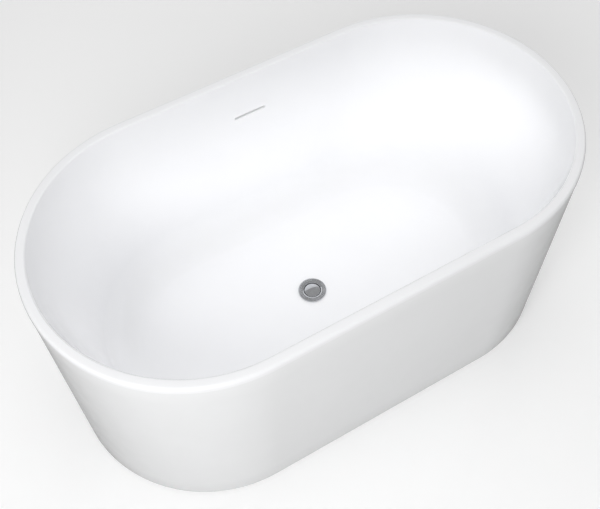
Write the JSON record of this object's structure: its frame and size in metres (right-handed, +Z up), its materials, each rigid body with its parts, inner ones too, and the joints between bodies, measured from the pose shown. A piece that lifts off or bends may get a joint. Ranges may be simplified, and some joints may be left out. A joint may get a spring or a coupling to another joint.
{
  "type": "freestanding bathtub",
  "caption": "Oval double-wall freestanding bathtub with a slim rim, sloped ends, central chrome click waste, slot overflow in the back wall and screw levelling feet under the skirt.",
  "frame": {"origin": "on the floor under the middle of the tub", "axes": "+X along the tub, +Y towards the wall with the overflow slot, +Z up"},
  "size_m": [1.36, 0.75, 0.6],
  "materials": {
    "acrylic_white": "high gloss white acrylic",
    "skirt_white": "high gloss white acrylic",
    "glass_fibre": "rough glass-fibre laminate",
    "adhesive_white": "satin sealant",
    "plywood": "plain plywood",
    "frame_steel": "satin powder coat",
    "zinc_steel": "zinc plated",
    "drain_chrome": "polished chrome",
    "brass": "machined brass",
    "black_rubber": "matte black rubber",
    "foot_plastic": "moulded black nylon",
    "white_plastic": "moulded white plastic",
    "grey_plastic": "moulded grey plastic"
  },
  "bodies": {
    "tub": {"basin": "acrylic_white", "basin_laminate": "glass_fibre", "skirt": "skirt_white", "skirt_laminate": "glass_fibre", "rim_adhesive": "adhesive_white", "base_board": "plywood", "frame_rail_front": "frame_steel", "frame_rail_back": "frame_steel", "frame_cross_left": "frame_steel", "frame_cross_right": "frame_steel", "board_screws": "zinc_steel", "frame_bolts": "zinc_steel", "skirt_brackets": "zinc_steel", "bracket_screws": "zinc_steel", "bracket_bolts": "zinc_steel", "foot_nuts": "zinc_steel", "foot_jam_nuts": "zinc_steel", "drain_flange": "drain_chrome", "drain_gasket": "black_rubber", "drain_washer": "black_rubber", "drain_nut": "white_plastic", "drain_body": "white_plastic", "drain_tail": "white_plastic", "stopper_cartridge": "brass", "overflow_box": "grey_plastic", "overflow_gasket": "black_rubber", "overflow_hose": "white_plastic", "hose_clamps": "zinc_steel"},
    "stopper": {"stopper_cap": "drain_chrome", "stopper_seal": "black_rubber", "stopper_stem": "drain_chrome"},
    "foot_pad_front_left": {"foot_pad_front_left": "foot_plastic"},
    "foot_rod_front_left": {"foot_rod_front_left": "zinc_steel"},
    "foot_pad_front_right": {"foot_pad_front_right": "foot_plastic"},
    "foot_rod_front_right": {"foot_rod_front_right": "zinc_steel"},
    "foot_pad_back_left": {"foot_pad_back_left": "foot_plastic"},
    "foot_rod_back_left": {"foot_rod_back_left": "zinc_steel"},
    "foot_pad_back_right": {"foot_pad_back_right": "foot_plastic"},
    "foot_rod_back_right": {"foot_rod_back_right": "zinc_steel"}
  },
  "joints": [
    {"name": "stopper_slide", "type": "slide", "parent": "tub", "child": "stopper", "axis": [0, 0, 1], "range_m": [0, 0.009]},
    {"name": "foot_slide_front_left", "type": "slide", "parent": "tub", "child": "foot_pad_front_left", "axis": [0, 0, -1], "range_m": [-0.003, 0.012]},
    {"name": "foot_turn_front_left", "type": "hinge", "parent": "foot_pad_front_left", "child": "foot_rod_front_left", "pos_m": [-0.3, -0.24, 0.02], "axis": [0, 0, -1], "range_deg": [-620, 2470]},
    {"name": "foot_slide_front_right", "type": "slide", "parent": "tub", "child": "foot_pad_front_right", "axis": [0, 0, -1], "range_m": [-0.003, 0.012]},
    {"name": "foot_turn_front_right", "type": "hinge", "parent": "foot_pad_front_right", "child": "foot_rod_front_right", "pos_m": [0.3, -0.24, 0.02], "axis": [0, 0, -1], "range_deg": [-620, 2470]},
    {"name": "foot_slide_back_left", "type": "slide", "parent": "tub", "child": "foot_pad_back_left", "axis": [0, 0, -1], "range_m": [-0.003, 0.012]},
    {"name": "foot_turn_back_left", "type": "hinge", "parent": "foot_pad_back_left", "child": "foot_rod_back_left", "pos_m": [-0.3, 0.24, 0.02], "axis": [0, 0, -1], "range_deg": [-620, 2470]},
    {"name": "foot_slide_back_right", "type": "slide", "parent": "tub", "child": "foot_pad_back_right", "axis": [0, 0, -1], "range_m": [-0.003, 0.012]},
    {"name": "foot_turn_back_right", "type": "hinge", "parent": "foot_pad_back_right", "child": "foot_rod_back_right", "pos_m": [0.3, 0.24, 0.02], "axis": [0, 0, -1], "range_deg": [-620, 2470]}
  ],
  "couplings": [
    {"joint": "foot_turn_front_left", "follows": "foot_slide_front_left", "rad_per_m": 3590.4},
    {"joint": "foot_turn_front_right", "follows": "foot_slide_front_right", "rad_per_m": 3590.4},
    {"joint": "foot_turn_back_left", "follows": "foot_slide_back_left", "rad_per_m": 3590.4},
    {"joint": "foot_turn_back_right", "follows": "foot_slide_back_right", "rad_per_m": 3590.4}
  ]
}
